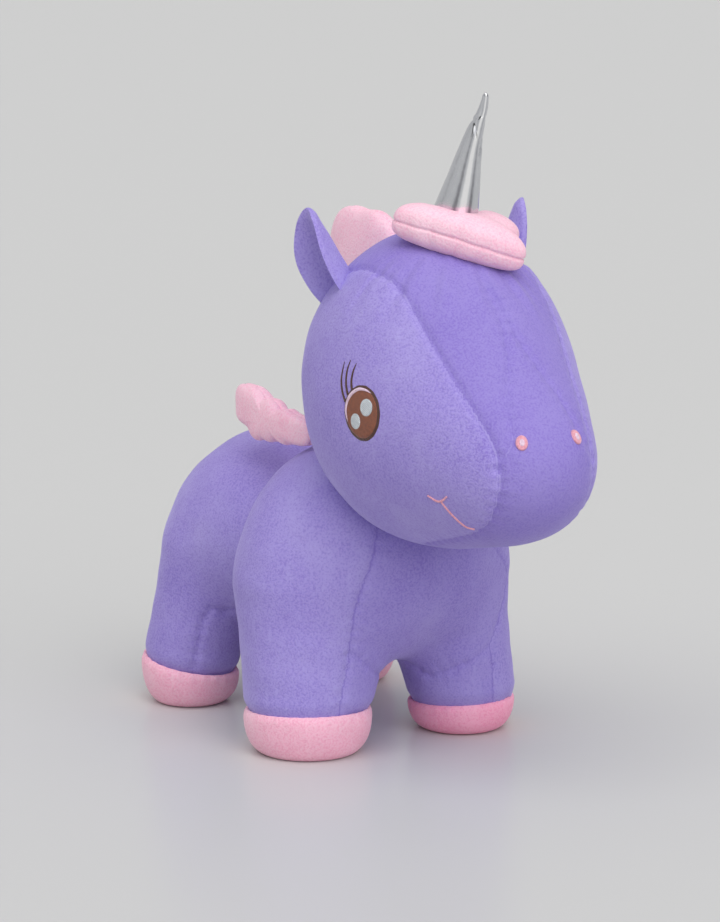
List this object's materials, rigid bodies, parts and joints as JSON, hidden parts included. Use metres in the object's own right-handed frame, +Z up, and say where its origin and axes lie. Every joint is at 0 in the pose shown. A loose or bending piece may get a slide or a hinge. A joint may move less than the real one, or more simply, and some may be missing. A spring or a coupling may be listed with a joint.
{
  "type": "plush unicorn",
  "caption": "Standing stuffed plush unicorn with rounded head, four short legs, soft horn, hair pads, back wings and a short tail.",
  "frame": {"origin": "on the floor under the middle of the toy's bounding box", "axes": "+Z up, nose towards -Y, the animal's left side towards +X"},
  "size_m": [0.16, 0.361, 0.3607],
  "materials": {
    "plush_purple": "short soft pile, directional nap",
    "plush_pink": "short soft pile, directional nap",
    "silver_lame": "metallic coated fabric, crumpled, glossy",
    "thread_brown": "satin stitch embroidery thread",
    "thread_white": "satin stitch embroidery thread",
    "thread_pink": "satin stitch embroidery thread",
    "polyester_filling": "loose hollow fibre"
  },
  "bodies": {
    "torso": {"belly_panel": "plush_purple", "chest_panel": "plush_purple", "hoof_band_front_left": "plush_pink", "hoof_band_front_right": "plush_pink", "hoof_band_hind_left": "plush_pink", "hoof_band_hind_right": "plush_pink", "hoof_sole_front_left": "plush_pink", "hoof_sole_front_right": "plush_pink", "hoof_sole_hind_left": "plush_pink", "hoof_sole_hind_right": "plush_pink", "inner_leg_panel_front_left": "plush_purple", "inner_leg_panel_front_right": "plush_purple", "inner_leg_panel_hind_left": "plush_purple", "inner_leg_panel_hind_right": "plush_purple", "leg_stuffing_front_left": "polyester_filling", "leg_stuffing_front_right": "polyester_filling", "leg_stuffing_hind_left": "polyester_filling", "leg_stuffing_hind_right": "polyester_filling", "side_panel_left": "plush_purple", "side_panel_right": "plush_purple", "torso_stuffing": "polyester_filling"},
    "head": {"brow_panel_left": "plush_purple", "brow_panel_right": "plush_purple", "cheek_panel_left": "plush_purple", "cheek_panel_right": "plush_purple", "eye_highlight_lower_left": "thread_white", "eye_highlight_lower_right": "thread_white", "eye_highlight_upper_left": "thread_white", "eye_highlight_upper_right": "thread_white", "eye_iris_left": "thread_brown", "eye_iris_right": "thread_brown", "eye_outline_left": "thread_brown", "eye_outline_right": "thread_brown", "forelock_stuffing": "polyester_filling", "forelock_top": "plush_pink", "forelock_under": "plush_pink", "head_stuffing": "polyester_filling", "mane_skin_left": "plush_pink", "mane_skin_right": "plush_pink", "mane_stuffing": "polyester_filling", "mouth_left": "thread_pink", "mouth_right": "thread_pink", "muzzle_panel": "plush_purple", "nostril_left": "thread_pink", "nostril_right": "thread_pink"},
    "ear_left": {"ear_left": "plush_purple", "ear_lining_left": "plush_purple"},
    "ear_right": {"ear_lining_right": "plush_purple", "ear_right": "plush_purple"},
    "horn": {"horn_skin": "silver_lame", "horn_stuffing": "polyester_filling"},
    "tail": {"tail_skin": "plush_pink", "tail_stuffing": "polyester_filling"},
    "wing_left": {"wing_inner_left": "plush_pink", "wing_outer_left": "plush_pink", "wing_stuffing_left": "polyester_filling"},
    "wing_right": {"wing_inner_right": "plush_pink", "wing_outer_right": "plush_pink", "wing_stuffing_right": "polyester_filling"}
  },
  "joints": [
    {"name": "head_nod", "type": "hinge", "parent": "torso", "child": "head", "pos_m": [0, -0.0145, 0.15], "axis": [1, 0, 0], "range_deg": [-5, 5], "stiffness_Nm_per_rad": 2, "springref_deg": -1.72},
    {"name": "ear_left_flop", "type": "hinge", "parent": "head", "child": "ear_left", "pos_m": [0.044, -0.0425, 0.26], "axis": [1, 0, 0], "range_deg": [-20, 20], "stiffness_Nm_per_rad": 0.05},
    {"name": "ear_right_flop", "type": "hinge", "parent": "head", "child": "ear_right", "pos_m": [-0.044, -0.0425, 0.26], "axis": [1, 0, 0], "range_deg": [-20, 20], "stiffness_Nm_per_rad": 0.05},
    {"name": "horn_lean", "type": "hinge", "parent": "head", "child": "horn", "pos_m": [0, -0.0775, 0.285], "axis": [1, 0, 0], "range_deg": [-8, 8], "stiffness_Nm_per_rad": 0.2},
    {"name": "wing_left_flap", "type": "hinge", "parent": "torso", "child": "wing_left", "pos_m": [0.037, 0.0105, 0.17], "axis": [0, 0, -1], "range_deg": [-10, 30], "stiffness_Nm_per_rad": 0.05},
    {"name": "wing_right_flap", "type": "hinge", "parent": "torso", "child": "wing_right", "pos_m": [-0.037, 0.0105, 0.17], "axis": [0, 0, 1], "range_deg": [-10, 30], "stiffness_Nm_per_rad": 0.05},
    {"name": "tail_swing", "type": "hinge", "parent": "torso", "child": "tail", "pos_m": [0, 0.1605, 0.121], "axis": [0, 1, 0], "range_deg": [-25, 25], "stiffness_Nm_per_rad": 0.05}
  ]
}
